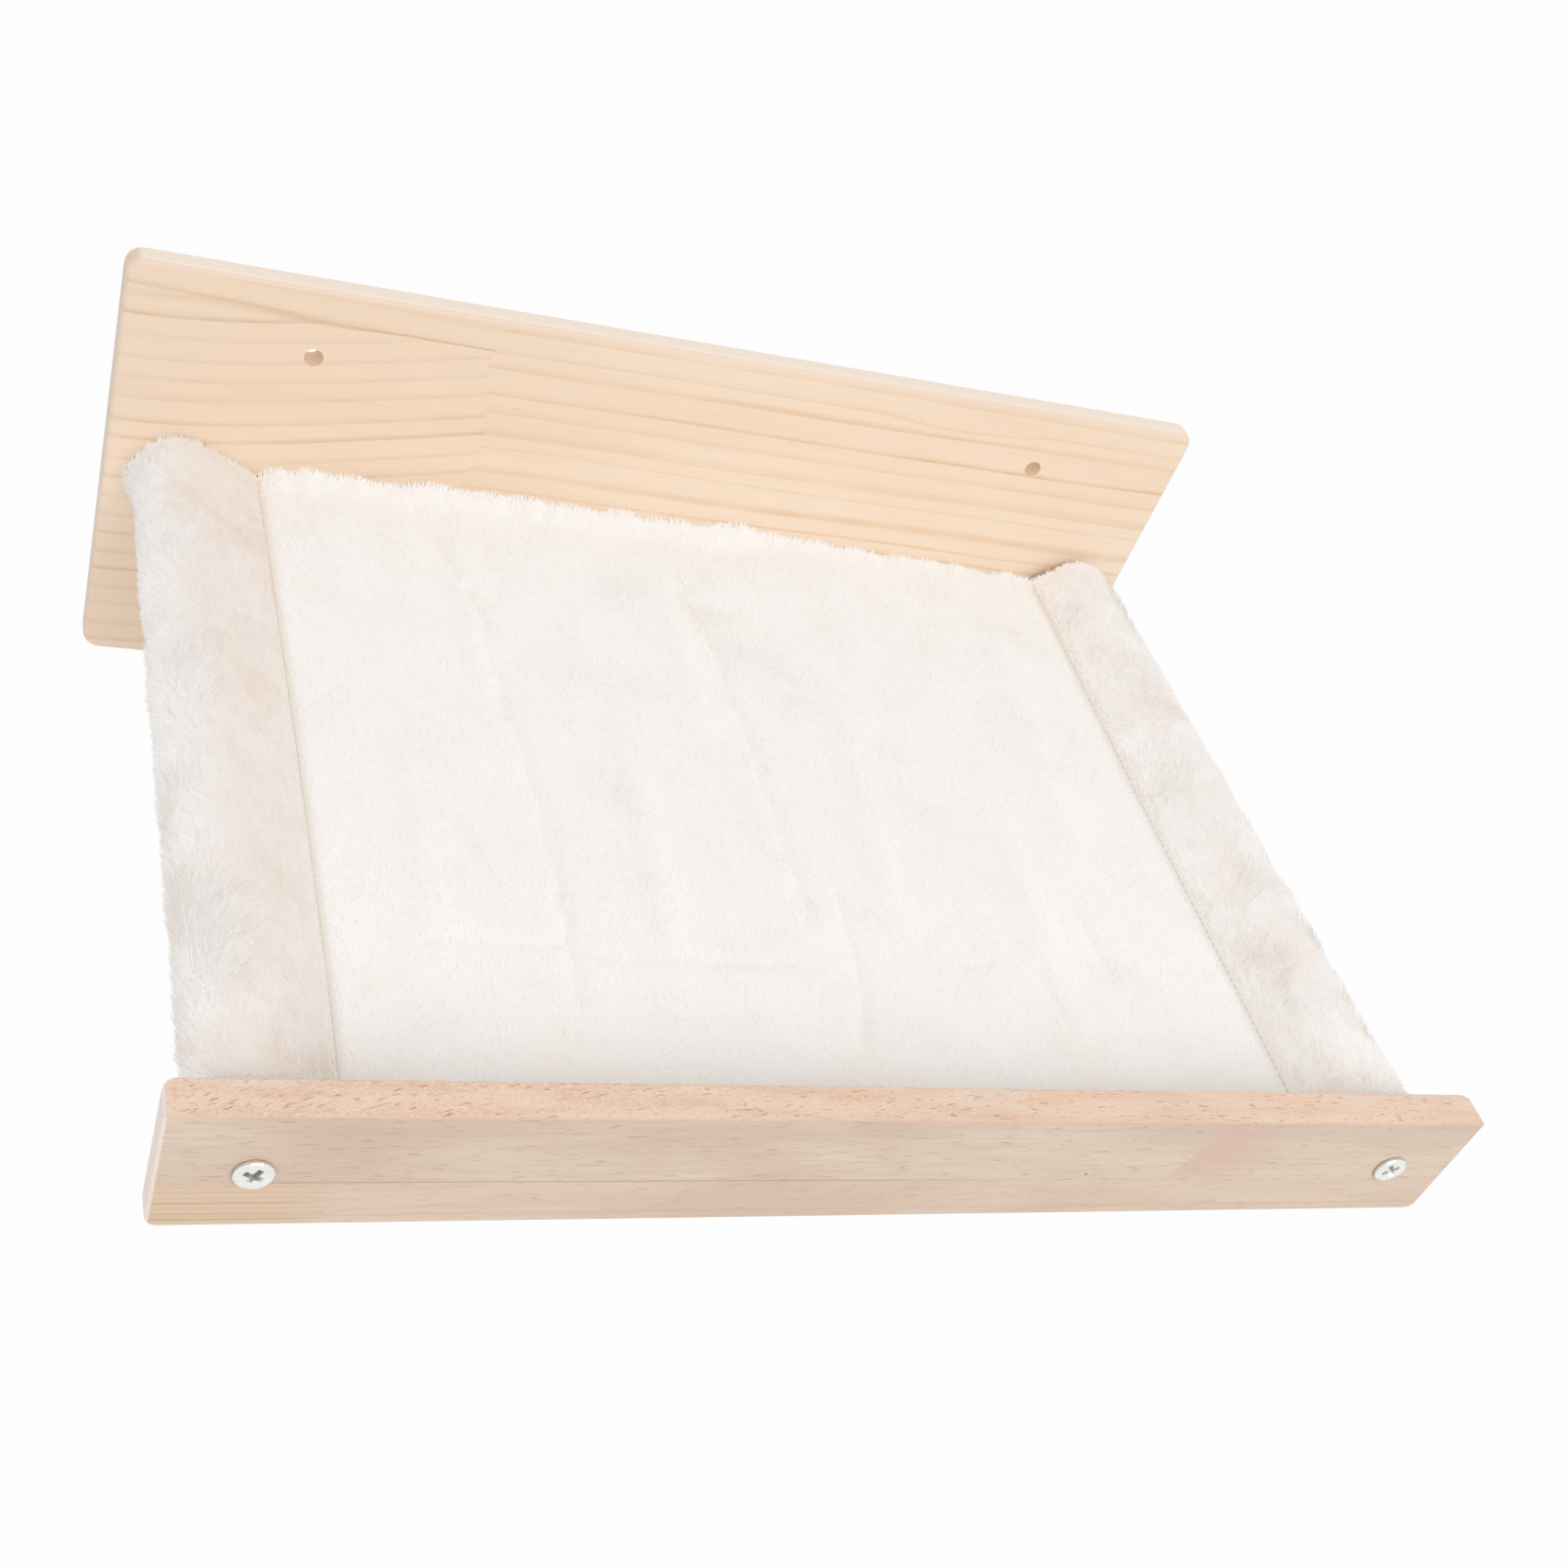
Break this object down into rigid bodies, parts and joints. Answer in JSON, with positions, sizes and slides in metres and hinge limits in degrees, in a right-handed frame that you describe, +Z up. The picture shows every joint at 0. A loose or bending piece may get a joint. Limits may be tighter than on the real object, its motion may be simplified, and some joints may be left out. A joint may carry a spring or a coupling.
{
  "type": "wall-mounted cat bed",
  "caption": "Wall-hung cat bed: a pine board on the wall and a low front rail, joined by dowels that carry a stretched plush sling.",
  "frame": {"origin": "on the wall, on the back of the wall board, midway between the wall-screw holes", "axes": "+X to the right as seen from the room, +Y into the wall, +Z up"},
  "size_m": [0.4, 0.3095, 0.155],
  "materials": {
    "pine": "fine-sanded, clear matt lacquer",
    "beech": "fine-sanded, clear matt lacquer",
    "birch_dowel": "turned, untreated",
    "plush": "short dense pile",
    "hem_plush": "longer ruffled pile",
    "nickel": "bright nickel plate",
    "zinc": "zinc plate"
  },
  "bodies": {
    "root": {"wall_board": "pine", "front_rail": "beech", "left_dowel": "birch_dowel", "right_dowel": "birch_dowel", "left_sleeve": "hem_plush", "right_sleeve": "hem_plush", "sling_panel": "plush", "left_rail_bolt": "nickel", "right_rail_bolt": "nickel", "left_wall_bolt": "nickel", "right_wall_bolt": "nickel", "left_front_insert": "zinc", "right_front_insert": "zinc", "left_rear_insert": "zinc", "right_rear_insert": "zinc"}
  },
  "joints": []
}
